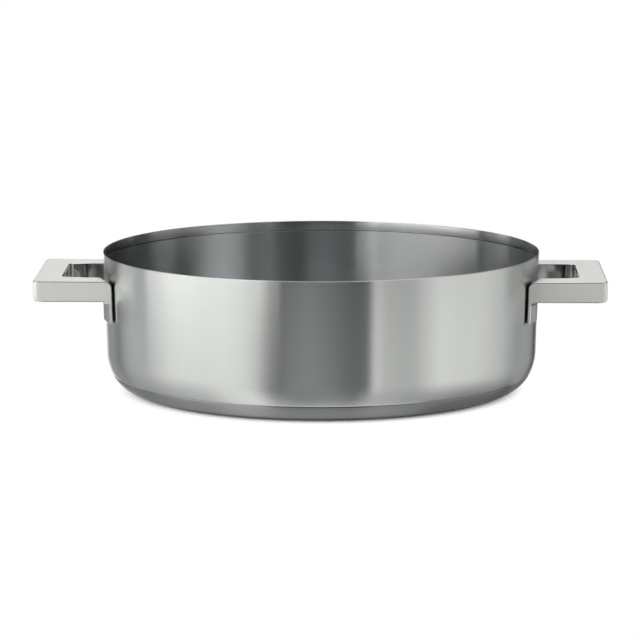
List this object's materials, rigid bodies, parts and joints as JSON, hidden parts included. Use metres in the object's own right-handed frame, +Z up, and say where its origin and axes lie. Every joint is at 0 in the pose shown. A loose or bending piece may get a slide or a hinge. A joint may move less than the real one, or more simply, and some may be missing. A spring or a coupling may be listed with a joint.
{
  "type": "saute pan",
  "caption": "Low round steel saute pan with straight drafted walls, loop side handles with spot-welded feet, and an encapsulated flat base.",
  "frame": {"origin": "on the pan's axis at the underside of the base, where the pan stands", "axes": "+Z up along the pan's axis, +X through the middle of the right handle, -Y towards the viewer of the picture"},
  "size_m": [0.3656, 0.282, 0.09],
  "materials": {
    "body_steel": "stainless steel sheet, brushed round the pan inside and out, bright at the rim",
    "aluminium": "plain rolled aluminium, hidden inside the base",
    "cap_steel": "stainless steel sheet, turned finish, a little darker than the wall",
    "satin_steel": "cast stainless steel, satin faces, polished inside the finger hole"
  },
  "bodies": {
    "root": {"pan_body": "body_steel", "heat_disc": "aluminium", "base_cap": "cap_steel", "handle_right": "satin_steel", "handle_left": "satin_steel"}
  },
  "joints": []
}
